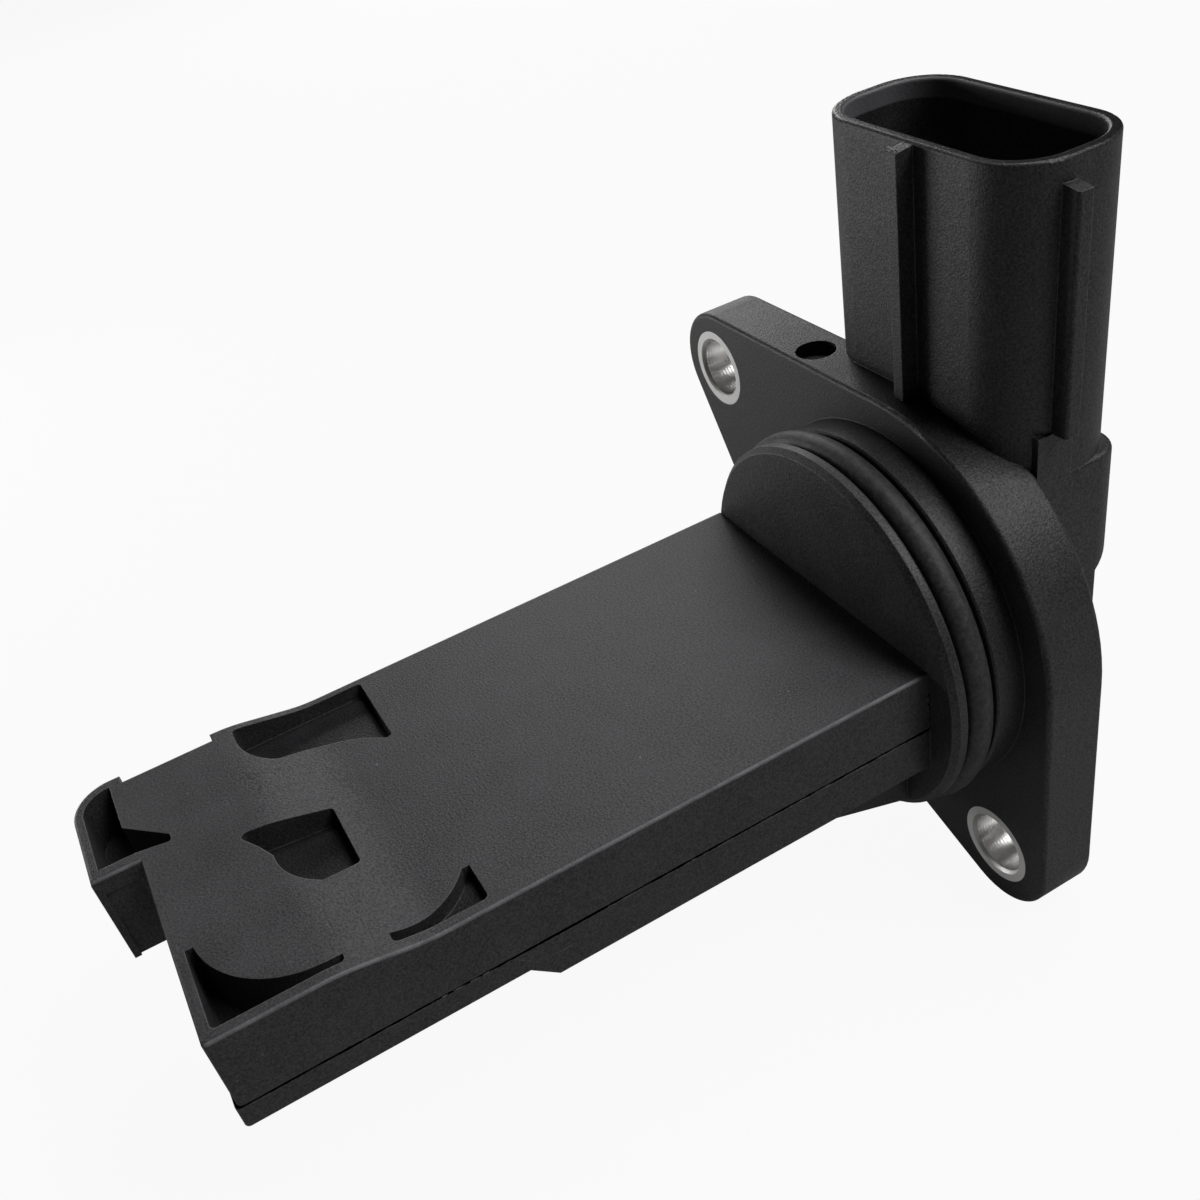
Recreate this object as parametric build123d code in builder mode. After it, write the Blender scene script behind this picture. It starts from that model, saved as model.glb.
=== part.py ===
from build123d import *
import os

os.makedirs("parts", exist_ok=True)

# Plug-in mass airflow sensor, in millimetres.
# The origin is on the spigot's axis, in the plane of the flange's mounting face.
# -Y runs along the probe into the duct, +Z towards the mouth of the connector.

# How far off its plane a face or an edge may lie and still be picked
pick_reach = 0.01

# Flange and its two screw ears
flange_thickness = 6.2
flange_disc_radius = 22.05
upper_ear_radius = 6.15
lower_ear_radius = 6.55
upper_ear_x = -28.1
upper_ear_z = 15.1
lower_ear_x = 15.8
lower_ear_z = -22.2
flange_edge_round = 0.45
locating_recess_radius = 2.0
locating_recess_x = -13.1
locating_recess_y = 2.6
locating_recess_floor_z = 20.2

# Compression bushes
bush_outer_radius = 4.18
bush_bore_radius = 3.08
bush_bore_chamfer = 0.3

# Spigot with its seal groove
spigot_radius = 19.0
spigot_length = 7.7
spigot_nose_chamfer = 0.55
groove_near_y = -3.0
groove_far_y = -6.2
ring_section_radius = 1.325
ring_centre_radius = 18.175
groove_edge_round = 0.2

# Connector shroud, five blades in one row
shroud_half_width = 13.05
shroud_depth = 13.14
shroud_centre_y = 10.04
shroud_corner_radius = 5.38
shroud_wall = 1.05
mouth_z = 44.7
socket_floor_z = 24.0
rim_round = 0.3
front_rib_x = 0.5
front_rib_thickness = 1.2
front_rib_height = 1.7
front_rib_top_z = 44.5
side_rib_y = 8.38
side_rib_thickness = 1.4
side_rib_height = 1.6
side_rib_top_z = 42.7
rib_bevel = 0.25
rib_edge_round = 0.35
latch_width = 5.0
latch_height = 1.6
latch_low_z = 35.0
latch_top_z = 39.5

# Block behind the flange that carries the shroud
block_side_step = 0.05
block_half_width = shroud_half_width + block_side_step
block_top_z = 21.3
block_shoulder_y = 10.0
block_rear_top_z = 16.6
block_back_y = 16.6
block_round = 3.0
block_edge_round = 0.5
block_waist_z = 6.4
block_lower_y = 13.85
block_lower_z = 3.9
block_base_z = -9.0
block_base_slope = 2.5
core_depth_y = 12.0
core_wall = 1.5
core_low_z = 7.9
core_top_z = 15.1
core_count = 3
core_corner = 0.8

# Probe plate: the tray below the seam and the cover above it
plate_left_x = -18.2
plate_right_x = 15.5
tip_y = -73.1
seam_z = -1.75
tray_base_z = -6.4
tray_tip_base_z = -4.2
tray_tip_lip = 0.25
tray_slope_start_y = tip_y + 26.6
tray_slope_end_y = tip_y + 24.3
tray_edge_chamfer = 0.8
seam_groove = 0.2
plate_edge_round = 0.35
plate_corner_round = 0.5
cover_top_z = 4.8
tip_top_z = 6.2
ramp_start_y = tip_y + 17.8
ramp_end_y = tip_y + 10.8
ramp_round = 14.0
roof_thickness = 1.2

# Gussets between the tray's underside and the spigot
gusset_count = 3
gusset_pitch = 11.2
gusset_thickness = 1.6
gusset_start_y = -29.7
gusset_root_z = -13.8

# Guard that stands ahead of the tip on the upstream side
guard_width = 12.15
guard_length = 4.3
guard_corner_radius = 3.8
guard_base_z = -3.7
guard_panel_depth = 0.3
guard_panel_border = 0.6
guard_panel_top_z = 4.4

# Mouth of the air inlet, where the upstream edge is set back
inlet_setback = 1.0
inlet_near_y = tip_y + 9.1
inlet_far_y = tip_y + 0.5

# Locking tabs of the cover, which reach down over the tray's sides
tab_thickness = 0.75
tab_base_z = -3.9
tab_top_near_y = tip_y + 32.1
tab_base_near_y = tip_y + 30.6
tab_base_far_y = tip_y + 25.2
tab_top_far_y = tip_y + 23.1

# Circuit chamber
chamber_side_wall = 2.6
chamber_near_y = -10.5
chamber_far_y = tip_y + 29.1
chamber_floor_z = -5.0
chamber_corner = 1.0
ledge_z = -3.4
ledge_far_y = -13.5

# Bypass passage, which bends round the island below the spade-shaped pocket
passage_side_wall = 2.8
passage_left_wall = 7.8
first_bend_radius = 7.4
upper_bend_radius = 6.1
passage_low_y = tip_y + 2.5
passage_top_y = tip_y + 22.2
sensing_floor_z = -2.95
outlet_near_y = tip_y + 16.7
outlet_far_y = tip_y + 12.2
outlet_length_x = 5.9
outlet_corner = 0.5

# Pockets in the cover's face
pocket_floor_z = 3.2
deep_pocket_floor_z = 1.2
pocket_corner = 0.45
pocket_left_wall = 0.9
pocket_right_wall = 1.1
guard_pocket_corner = 0.3

# Adhesive bead between tray and cover
bead_width = 0.8
bead_depth = 0.7
bead_inset = 1.6
bead_near_y = -9.3
bead_cross_y = tip_y + 24.8
bead_tip_y = tip_y + 1.2
bead_left_end_y = tip_y + 10.7
bead_tip_end_x = 6.6

# Electrical parts
terminal_count = 5
terminal_pitch = 4.0
terminal_width = 1.5
terminal_thickness = 0.64
terminal_tip_z = 37.0
terminal_end_y = -13.0
terminal_bend = 1.4
terminal_tip_chamfer = 0.25
plate_clearance = 0.9
carrier_plate_thickness = 0.8
carrier_plate_near_y = -14.3
board_margin = 1.1
board_thickness = 0.8
gel_top_z = -2.3
tongue_half_width = 3.5
tongue_thickness = 1.6
tongue_root_y = tip_y + 32.1
tongue_step_y = tip_y + 29.5
tongue_end_y = tip_y + 17.5
tongue_end_round = 0.7
sensing_chip_width = 3.0
sensing_chip_length = 3.0
sensing_chip_thickness = 0.5
sensing_chip_y = tip_y + 19.9
bead_bulb_radius = 0.85
lead_thickness = 0.35
lead_spacing = 1.1
lead_bend = 0.6
lead_root = 2.0
thermistor_x = 9.0
thermistor_y = tip_y + 19.7
thermistor_z = -0.6
signal_chip_length = 7.0
signal_chip_width = 6.0
signal_chip_height = 0.9
signal_chip_bevel = 0.15
capacitor_length = 2.0
capacitor_width = 1.25
capacitor_height = 0.85
capacitor_row = 4.6
resistor_length = 1.6
resistor_width = 0.8
resistor_height = 0.45
resistor_row = 8.5

plate_width = plate_right_x - plate_left_x
inlet_face_x = plate_left_x + inlet_setback
guard_right_x = plate_left_x + guard_width
guard_end_y = tip_y - guard_length
guard_corner_x = plate_left_x + guard_corner_radius
guard_corner_y = guard_end_y + guard_corner_radius
guard_panel_near_y = tip_y - guard_panel_border
guard_panel_far_y = guard_end_y + guard_panel_border
chamber_left_x = plate_left_x + chamber_side_wall
chamber_right_x = plate_right_x - chamber_side_wall
passage_left_x = plate_left_x + passage_left_wall
passage_right_x = plate_right_x - passage_side_wall
first_bend_x = passage_right_x - first_bend_radius
first_bend_y = passage_low_y + first_bend_radius
second_bend_x = passage_right_x - upper_bend_radius
third_bend_x = passage_left_x + upper_bend_radius
upper_bend_y = passage_top_y - upper_bend_radius
outlet_left_x = passage_left_x + outlet_corner
outlet_right_x = outlet_left_x + outlet_length_x
pocket_left_x = plate_left_x + pocket_left_wall
pocket_right_x = plate_right_x - pocket_right_wall
groove_floor_radius = ring_centre_radius - ring_section_radius
ring_y = (groove_near_y + groove_far_y) / 2
terminal_run_z = ledge_z + terminal_thickness / 2
carrier_plate_top_z = chamber_floor_z + carrier_plate_thickness
board_top_z = carrier_plate_top_z + board_thickness
sheltered_roof_z = cover_top_z - roof_thickness
tip_roof_z = tip_top_z - roof_thickness

# Compression bushes: turned metal sleeves, flush with both faces of the ears
with BuildPart() as bush_upper:
    with BuildSketch(Plane.XZ):
        with Locations((upper_ear_x, upper_ear_z)):
            Circle(bush_outer_radius)
            Circle(bush_bore_radius, mode=Mode.SUBTRACT)
    extrude(amount=-flange_thickness)
    chamfer(bush_upper.edges().filter_by(GeomType.CIRCLE).sort_by(SortBy.RADIUS)[:2], bush_bore_chamfer)
bush_upper.part.label = "bush_upper"

with BuildPart() as bush_lower:
    with BuildSketch(Plane.XZ):
        with Locations((lower_ear_x, lower_ear_z)):
            Circle(bush_outer_radius)
            Circle(bush_bore_radius, mode=Mode.SUBTRACT)
    extrude(amount=-flange_thickness)
    chamfer(bush_lower.edges().filter_by(GeomType.CIRCLE).sort_by(SortBy.RADIUS)[:2], bush_bore_chamfer)
bush_lower.part.label = "bush_lower"

# Sealing ring: a round cord that sits on the groove's floor
with BuildPart() as o_ring:
    with BuildSketch(Plane.XY):
        with Locations((ring_centre_radius, ring_y)):
            Circle(ring_section_radius)
    revolve(axis=Axis.Y)
o_ring.part.label = "o_ring"

# Terminals: blades in the socket, bent inside the block and run to the chamber's ledge
with BuildPart() as terminal_blade:
    with BuildSketch(Plane.YZ):
        with BuildLine():
            FilletPolyline(
                (shroud_centre_y, terminal_tip_z),
                (shroud_centre_y, terminal_run_z),
                (terminal_end_y, terminal_run_z),
                radius=terminal_bend,
            )
        trace(line_width=terminal_thickness)
    extrude(amount=terminal_width / 2, both=True)
    blade_tip = terminal_blade.faces().sort_by(Axis.Z)[-1]
    chamfer(blade_tip.edges(), terminal_tip_chamfer)

terminals = []
for index in range(terminal_count):
    terminal_x = (index - (terminal_count - 1) / 2) * terminal_pitch
    terminal = Pos(terminal_x, 0, 0) * terminal_blade.part
    terminal.label = f"terminal_{index + 1}"
    terminals.append(terminal)

# Locking tabs of the cover, one on each side of the plate
with BuildPart() as locking_tabs:
    for tab_x in (plate_left_x, plate_right_x - tab_thickness):
        with BuildSketch(Plane.YZ.offset(tab_x)):
            Polygon(
                (tab_top_near_y, seam_z),
                (tab_base_near_y, tab_base_z),
                (tab_base_far_y, tab_base_z),
                (tab_top_far_y, seam_z),
                align=None,
            )
        extrude(amount=tab_thickness)

# Tray: the lower half of the probe, in one with the spigot
with BuildPart() as tray:
    with BuildSketch(Plane.YZ.offset(plate_left_x)):
        Polygon(
            (-spigot_length + spigot_nose_chamfer, seam_z),
            (tip_y - tray_tip_lip, seam_z),
            (tip_y - tray_tip_lip, tray_tip_base_z),
            (tray_slope_end_y, tray_tip_base_z),
            (tray_slope_start_y, tray_base_z),
            (-spigot_length + spigot_nose_chamfer, tray_base_z),
            align=None,
        )
    extrude(amount=plate_width)
    tip_corner = tray.edges().filter_by(Axis.Z).group_by(Axis.Y)[0].sort_by(Axis.X)[-1]
    fillet(tip_corner, plate_corner_round)
    tray_root_edge = tray.edges().filter_by(Axis.Y).group_by(Axis.Z)[0].sort_by(Axis.X)[0]
    chamfer(tray_root_edge, tray_edge_chamfer)
    # Narrow groove along the seam, cut off the tray's upper outer edges
    seam_edges = tray.faces().sort_by(Axis.Z)[-1].edges().sort_by(Axis.Y)[:-1]
    chamfer(seam_edges, seam_groove)
    # The lip at the tip stops beside the guard
    with BuildSketch(Plane.XY.offset(seam_z)):
        with Locations((plate_left_x + guard_width / 2, tip_y - tray_tip_lip / 2)):
            Rectangle(guard_width, tray_tip_lip)
    extrude(amount=tray_tip_base_z - seam_z, mode=Mode.SUBTRACT)
    # Gussets that stiffen the root
    for gusset_index in range(gusset_count):
        gusset_x = (gusset_index - (gusset_count - 1) / 2) * gusset_pitch
        with BuildSketch(Plane.YZ.offset(gusset_x - gusset_thickness / 2)):
            Polygon(
                (gusset_start_y, tray_base_z),
                (-spigot_length, gusset_root_z),
                (-spigot_length, tray_base_z),
                align=None,
            )
        extrude(amount=gusset_thickness)
    # The upstream edge is set back at the inlet
    with BuildSketch(Plane.XY.offset(seam_z)):
        with Locations((plate_left_x, (inlet_near_y + inlet_far_y) / 2)):
            Rectangle(2 * inlet_setback, inlet_near_y - inlet_far_y)
    extrude(amount=tray_base_z - seam_z, mode=Mode.SUBTRACT)
    # Circuit chamber, with a higher ledge under the ends of the terminals
    with BuildSketch(Plane.XY.offset(ledge_z)):
        with Locations(((chamber_left_x + chamber_right_x) / 2, (chamber_near_y + chamber_far_y) / 2)):
            RectangleRounded(chamber_right_x - chamber_left_x, chamber_near_y - chamber_far_y, chamber_corner)
    extrude(amount=seam_z - ledge_z, mode=Mode.SUBTRACT)
    with BuildSketch(Plane.XY.offset(chamber_floor_z)):
        with Locations(((chamber_left_x + chamber_right_x) / 2, (ledge_far_y + chamber_far_y) / 2)):
            RectangleRounded(chamber_right_x - chamber_left_x, ledge_far_y - chamber_far_y, chamber_corner)
    extrude(amount=ledge_z - chamber_floor_z, mode=Mode.SUBTRACT)
    # Lowered floor round the sensing tongue
    with BuildSketch(Plane.XY.offset(sensing_floor_z)):
        with Locations((0, (passage_top_y + tongue_end_y) / 2)):
            Rectangle(2 * tongue_half_width + 2, passage_top_y - tongue_end_y)
    extrude(amount=seam_z - sensing_floor_z, mode=Mode.SUBTRACT)
    # Side outlet of the bypass passage
    with BuildSketch(Plane.XY.offset(tray_tip_base_z)):
        with Locations(((outlet_left_x + outlet_right_x) / 2, (outlet_near_y + outlet_far_y) / 2)):
            RectangleRounded(outlet_right_x - outlet_left_x, outlet_near_y - outlet_far_y, outlet_corner)
    extrude(amount=seam_z - tray_tip_base_z, mode=Mode.SUBTRACT)
    # Notches that take the cover's locking tabs
    add(locking_tabs.part, mode=Mode.SUBTRACT)

# Adhesive bead: a frame round the chamber, with one strand to the tip and one to the inlet
with BuildPart() as cover_seal:
    with BuildSketch(Plane.XY.offset(seam_z)):
        bead_left_x = plate_left_x + bead_inset
        bead_right_x = plate_right_x - bead_inset
        with BuildLine():
            Line((bead_left_x, bead_left_end_y), (bead_left_x, bead_near_y))
            Line((bead_left_x, bead_near_y), (bead_right_x, bead_near_y))
            Line((bead_right_x, bead_near_y), (bead_right_x, bead_tip_y))
            Line((bead_right_x, bead_tip_y), (bead_tip_end_x, bead_tip_y))
        trace(line_width=bead_width)
        with Locations(((bead_left_x + bead_right_x) / 2, bead_cross_y)):
            Rectangle(bead_right_x - bead_left_x, bead_width)
    extrude(amount=-bead_depth)
cover_seal.part.label = "cover_seal"

# Housing: flange, spigot, block, connector shroud and tray in one moulding
with BuildPart() as housing:
    # Flange: the outline wraps the round body and the two ears
    with BuildSketch(Plane.XZ):
        Circle(flange_disc_radius)
        with Locations((upper_ear_x, upper_ear_z)):
            Circle(upper_ear_radius)
        with Locations((lower_ear_x, lower_ear_z)):
            Circle(lower_ear_radius)
        make_hull()
    extrude(amount=-flange_thickness)
    fillet(housing.edges().group_by(Axis.Y)[0] + housing.edges().group_by(Axis.Y)[-1], flange_edge_round)
    # Spigot with the groove for the sealing ring
    with BuildSketch(Plane.XY):
        Polygon(
            (0, 0),
            (spigot_radius, 0),
            (spigot_radius, groove_near_y + groove_edge_round),
            (spigot_radius - groove_edge_round, groove_near_y),
            (groove_floor_radius, groove_near_y),
            (groove_floor_radius, groove_far_y),
            (spigot_radius - groove_edge_round, groove_far_y),
            (spigot_radius, groove_far_y - groove_edge_round),
            (spigot_radius, -spigot_length + spigot_nose_chamfer),
            (spigot_radius - spigot_nose_chamfer, -spigot_length),
            (0, -spigot_length),
            align=None,
        )
    revolve(axis=Axis.Y)
    # Block behind the flange, rounded at the back, with a higher shoulder at the front
    block_depth = block_back_y - flange_thickness
    with BuildSketch(Plane.XY.offset(block_base_z)) as block_plan:
        with Locations((0, flange_thickness + block_depth / 2)):
            Rectangle(2 * block_half_width, block_depth)
        fillet(block_plan.vertices().group_by(Axis.Y)[-1], block_round)
    extrude(amount=block_rear_top_z - block_base_z)
    with BuildSketch(Plane.XY.offset(block_rear_top_z)):
        with Locations((0, (flange_thickness + block_shoulder_y) / 2)):
            Rectangle(2 * block_half_width, block_shoulder_y - flange_thickness)
    extrude(amount=block_top_z - block_rear_top_z)
    rear_top = housing.faces().filter_by(Axis.Z).filter_by_position(
        Axis.Z, block_rear_top_z - pick_reach, block_rear_top_z + pick_reach
    ).sort_by(Axis.Y)[-1]
    fillet(rear_top.edges().sort_by(Axis.Y)[1:], block_edge_round)
    with BuildSketch(Plane.YZ):
        Polygon(
            (block_back_y, block_waist_z),
            (block_lower_y, block_lower_z),
            (block_lower_y, block_base_z + block_base_slope),
            (block_lower_y - block_base_slope, block_base_z),
            (block_back_y, block_base_z),
            align=None,
        )
    extrude(amount=block_half_width, both=True, mode=Mode.SUBTRACT)
    # Shroud
    with BuildSketch(Plane.XY.offset(block_rear_top_z)):
        with Locations((0, shroud_centre_y)):
            RectangleRounded(2 * shroud_half_width, shroud_depth, shroud_corner_radius)
    extrude(amount=mouth_z - block_rear_top_z)
    with BuildSketch(Plane.XY.offset(socket_floor_z)):
        with Locations((0, shroud_centre_y)):
            RectangleRounded(
                2 * (shroud_half_width - shroud_wall),
                shroud_depth - 2 * shroud_wall,
                shroud_corner_radius - shroud_wall,
            )
    extrude(amount=mouth_z - socket_floor_z, mode=Mode.SUBTRACT)
    fillet(housing.faces().sort_by(Axis.Z)[-1].edges(), rim_round)
    # Guide rib on the shroud's front, bevelled at the top
    shroud_front_y = shroud_centre_y - shroud_depth / 2
    with BuildSketch(Plane.YZ.offset(front_rib_x - front_rib_thickness / 2)):
        Polygon(
            (shroud_front_y + shroud_wall / 2, block_rear_top_z),
            (shroud_front_y + shroud_wall / 2, front_rib_top_z),
            (shroud_front_y, front_rib_top_z),
            (shroud_front_y - front_rib_height, front_rib_top_z - rib_bevel),
            (shroud_front_y - front_rib_height, block_rear_top_z),
            align=None,
        )
    extrude(amount=front_rib_thickness)
    # Guide rib on the shroud's side, which ends at the block's shoulder
    with BuildSketch(Plane.XZ.offset(-side_rib_y - side_rib_thickness / 2)):
        Polygon(
            (shroud_half_width - shroud_wall / 2, block_top_z),
            (shroud_half_width - shroud_wall / 2, side_rib_top_z),
            (shroud_half_width, side_rib_top_z),
            (shroud_half_width + side_rib_height, side_rib_top_z - rib_bevel),
            (shroud_half_width + side_rib_height, block_top_z),
            align=None,
        )
    extrude(amount=side_rib_thickness)
    side_rib_edge = housing.edges().filter_by(Axis.Z).sort_by(Axis.X)[-2:].sort_by(Axis.Y)[0]
    fillet(side_rib_edge, rib_edge_round)
    # Latch nib for the plug on the back
    shroud_back_y = shroud_centre_y + shroud_depth / 2
    with BuildSketch(Plane.YZ):
        Polygon(
            (shroud_back_y - shroud_wall / 2, latch_low_z),
            (shroud_back_y + latch_height, latch_low_z),
            (shroud_back_y, latch_top_z),
            (shroud_back_y - shroud_wall / 2, latch_top_z),
            align=None,
        )
    extrude(amount=latch_width / 2, both=True)
    # Moulding cores in the back of the block
    core_pitch = (2 * block_half_width - core_wall) / core_count
    with BuildSketch(Plane.XZ.offset(-core_depth_y)):
        with Locations((0, (core_low_z + core_top_z) / 2)):
            with GridLocations(core_pitch, 1, core_count, 1):
                RectangleRounded(core_pitch - core_wall, core_top_z - core_low_z, core_corner)
    extrude(amount=core_depth_y - shroud_back_y, mode=Mode.SUBTRACT)
    # Blind recess in the flange's upper edge
    with BuildSketch(Plane.XY.offset(locating_recess_floor_z)):
        with Locations((locating_recess_x, locating_recess_y)):
            Circle(locating_recess_radius)
    extrude(amount=flange_disc_radius - locating_recess_floor_z, mode=Mode.SUBTRACT)
    # Seats of the bushes
    with BuildSketch(Plane.XZ):
        with Locations((upper_ear_x, upper_ear_z), (lower_ear_x, lower_ear_z)):
            Circle(bush_outer_radius)
    extrude(amount=-flange_thickness, mode=Mode.SUBTRACT)
    add(tray.part)
    add(cover_seal.part, mode=Mode.SUBTRACT)
    add(terminals, mode=Mode.SUBTRACT)
housing.part.label = "housing"

# Bypass passage: inlet, loop over the sensing chip, side outlet and end outlet
with BuildPart() as passage:
    with BuildSketch(Plane.XY.offset(seam_z)):
        with BuildLine():
            Polyline(
                (plate_left_x, tip_y + 0.7),
                (-11.9, tip_y + 0.7),
                (-8.3, tip_y + 3.8),
                (-5.4, tip_y + 3.8),
                (-5.4, tip_y),
                (first_bend_x, tip_y),
                (first_bend_x, passage_low_y),
            )
            CenterArc((first_bend_x, first_bend_y), first_bend_radius, 270, 90)
            Line((passage_right_x, first_bend_y), (passage_right_x, upper_bend_y))
            CenterArc((second_bend_x, upper_bend_y), upper_bend_radius, 0, 90)
            Line((second_bend_x, passage_top_y), (third_bend_x, passage_top_y))
            CenterArc((third_bend_x, upper_bend_y), upper_bend_radius, 90, 90)
            Polyline(
                (passage_left_x, upper_bend_y),
                (passage_left_x, tip_y + 12.8),
                (-3.5, tip_y + 9.2),
                (-3.5, tip_y + 16.8),
                (6.3, tip_y + 16.8),
                (6.3, tip_y + 12.4),
                (4.3, tip_y + 9.8),
                (1.0, tip_y + 9.0),
                (-3.2, tip_y + 7.2),
                (-11.5, tip_y + 10.2),
                (plate_left_x, tip_y + 8.9),
                (plate_left_x, tip_y + 0.7),
            )
        make_face()
    extrude(amount=tip_roof_z - seam_z)
    # The roof follows the cover's face
    with BuildSketch(Plane.YZ.offset(plate_left_x)):
        Polygon(
            (tip_y, seam_z),
            (tip_y, tip_roof_z),
            (ramp_end_y, tip_roof_z),
            (ramp_start_y, sheltered_roof_z),
            (passage_top_y, sheltered_roof_z),
            (passage_top_y, seam_z),
            align=None,
        )
    extrude(amount=plate_width, mode=Mode.INTERSECT)

# Sensing tongue: its root stands on the board, its end reaches into the passage
with BuildPart() as chip_carrier:
    with BuildSketch(Plane.YZ.offset(-tongue_half_width)):
        Polygon(
            (tongue_root_y, board_top_z),
            (tongue_root_y, seam_z + tongue_thickness),
            (tongue_end_y, seam_z + tongue_thickness),
            (tongue_end_y, seam_z),
            (tongue_step_y, seam_z),
            (tongue_step_y, board_top_z),
            align=None,
        )
    extrude(amount=2 * tongue_half_width)
    tongue_end = chip_carrier.faces().sort_by(Axis.Y)[0]
    fillet(tongue_end.edges().filter_by(Axis.X), tongue_end_round)
    with BuildSketch(Plane.XY.offset(seam_z + tongue_thickness)):
        with Locations((0, sensing_chip_y)):
            Rectangle(sensing_chip_width, sensing_chip_length)
    extrude(amount=-sensing_chip_thickness, mode=Mode.SUBTRACT)
chip_carrier.part.label = "chip_carrier"

# Sensing chip, flush in its seat
with BuildPart() as sensing_chip:
    with BuildSketch(Plane.XY.offset(seam_z + tongue_thickness)):
        with Locations((0, sensing_chip_y)):
            Rectangle(sensing_chip_width, sensing_chip_length)
    extrude(amount=-sensing_chip_thickness)
sensing_chip.part.label = "sensing_chip"

# Thermistor: a glass bead on two stiff leads in the corner of the passage
with BuildPart() as thermistor:
    with BuildSketch(Plane.YZ.offset(thermistor_x - lead_spacing / 2)):
        with BuildLine():
            FilletPolyline(
                (chamber_far_y + lead_root, board_top_z),
                (chamber_far_y + lead_root, thermistor_z),
                (thermistor_y, thermistor_z),
                radius=lead_bend,
            )
        trace(line_width=lead_thickness)
    extrude(amount=lead_thickness / 2, both=True)
    mirror(about=Plane.YZ.offset(thermistor_x))
    with Locations((thermistor_x, thermistor_y, thermistor_z)):
        Sphere(bead_bulb_radius)
thermistor.part.label = "thermistor"

# Cover: the upper half of the probe
with BuildPart() as probe_cover:
    # Plan of the cover: the guard stands ahead of the tip, the upstream edge is set back at the inlet
    with BuildSketch(Plane.XY.offset(seam_z)):
        with BuildLine():
            CenterArc((guard_corner_x, guard_corner_y), guard_corner_radius, 180, 90)
            Polyline(
                (guard_corner_x, guard_end_y),
                (guard_right_x, guard_end_y),
                (guard_right_x, tip_y),
                (plate_right_x, tip_y),
                (plate_right_x, -spigot_length),
                (plate_left_x, -spigot_length),
                (plate_left_x, inlet_near_y),
                (inlet_face_x, inlet_near_y),
                (inlet_face_x, inlet_far_y),
                (plate_left_x, inlet_far_y),
                (plate_left_x, guard_corner_y),
            )
        make_face()
    extrude(amount=tip_top_z - seam_z)
    tip_corner = probe_cover.edges().filter_by(Axis.Z).group_by(Axis.X)[-1].sort_by(Axis.Y)[0]
    fillet(tip_corner, plate_corner_round)
    # The face steps down by a soft ramp towards the spigot
    with BuildSketch(Plane.YZ.offset(plate_left_x)):
        with BuildLine():
            FilletPolyline(
                (-spigot_length, cover_top_z),
                (ramp_start_y, cover_top_z),
                (ramp_end_y, tip_top_z),
                (ramp_end_y - ramp_round / 4, tip_top_z),
                radius=ramp_round,
            )
            Polyline(
                (ramp_end_y - ramp_round / 4, tip_top_z),
                (ramp_end_y - ramp_round / 4, tip_top_z + roof_thickness),
                (-spigot_length, tip_top_z + roof_thickness),
                (-spigot_length, cover_top_z),
            )
        make_face()
    extrude(amount=plate_width, mode=Mode.SUBTRACT)
    # The guard reaches below the seam
    with BuildSketch(Plane.XY.offset(guard_base_z)):
        with BuildLine():
            CenterArc((guard_corner_x, guard_corner_y), guard_corner_radius, 180, 90)
            Polyline(
                (guard_corner_x, guard_end_y),
                (guard_right_x, guard_end_y),
                (guard_right_x, tip_y),
                (plate_left_x, tip_y),
                (plate_left_x, guard_corner_y),
            )
        make_face()
    extrude(amount=seam_z - guard_base_z)
    # Rounded outer edges of the face
    upper_edges = probe_cover.edges().filter_by_position(
        Axis.Z, cover_top_z - pick_reach, tip_top_z + pick_reach
    )
    cross_edges = upper_edges.filter_by(Axis.X).filter_by_position(
        Axis.Y, tip_y, -spigot_length, inclusive=(False, True)
    )
    fillet(upper_edges - cross_edges, plate_edge_round)
    # Panel let into the guard's downstream side
    with BuildSketch(Plane.YZ.offset(guard_right_x)):
        Polygon(
            (guard_panel_near_y, guard_base_z),
            (guard_panel_far_y, guard_base_z),
            (guard_panel_far_y, guard_panel_top_z),
            (guard_panel_near_y, guard_panel_top_z),
            align=None,
        )
    extrude(amount=-guard_panel_depth, mode=Mode.SUBTRACT)
    add(locking_tabs.part)
    # Upper half of the circuit chamber
    with BuildSketch(Plane.XY.offset(seam_z)):
        with Locations(((chamber_left_x + chamber_right_x) / 2, (chamber_near_y + chamber_far_y) / 2)):
            RectangleRounded(chamber_right_x - chamber_left_x, chamber_near_y - chamber_far_y, chamber_corner)
    extrude(amount=sheltered_roof_z - seam_z, mode=Mode.SUBTRACT)
    # Bypass passage, and the slots for the tongue and the thermistor's leads
    add(passage.part, mode=Mode.SUBTRACT)
    add(chip_carrier.part, mode=Mode.SUBTRACT)
    add(thermistor.part, mode=Mode.SUBTRACT)
    # Long pocket beside the inlet's shoulder
    with BuildSketch(Plane.XY.offset(pocket_floor_z)):
        with BuildLine():
            ThreePointArc((-11.2, tip_y + 13.6), (-12.9, tip_y + 11.7), (-15.6, tip_y + 11.0))
            Polyline(
                (-15.6, tip_y + 11.0),
                (pocket_left_x, tip_y + 11.0),
                (pocket_left_x, tip_y + 23.6),
                (-7.6, tip_y + 23.6),
            )
            ThreePointArc((-7.6, tip_y + 23.6), (-10.4, tip_y + 19.7), (-11.2, tip_y + 16.1))
            Line((-11.2, tip_y + 16.1), (-11.2, tip_y + 13.6))
        make_face()
        near_corners = vertices().group_by(Axis.Y)[-1]
        fillet(vertices().group_by(Axis.X)[0] + near_corners.sort_by(Axis.X)[-1:], pocket_corner)
    extrude(amount=tip_top_z - pocket_floor_z, mode=Mode.SUBTRACT)
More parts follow.
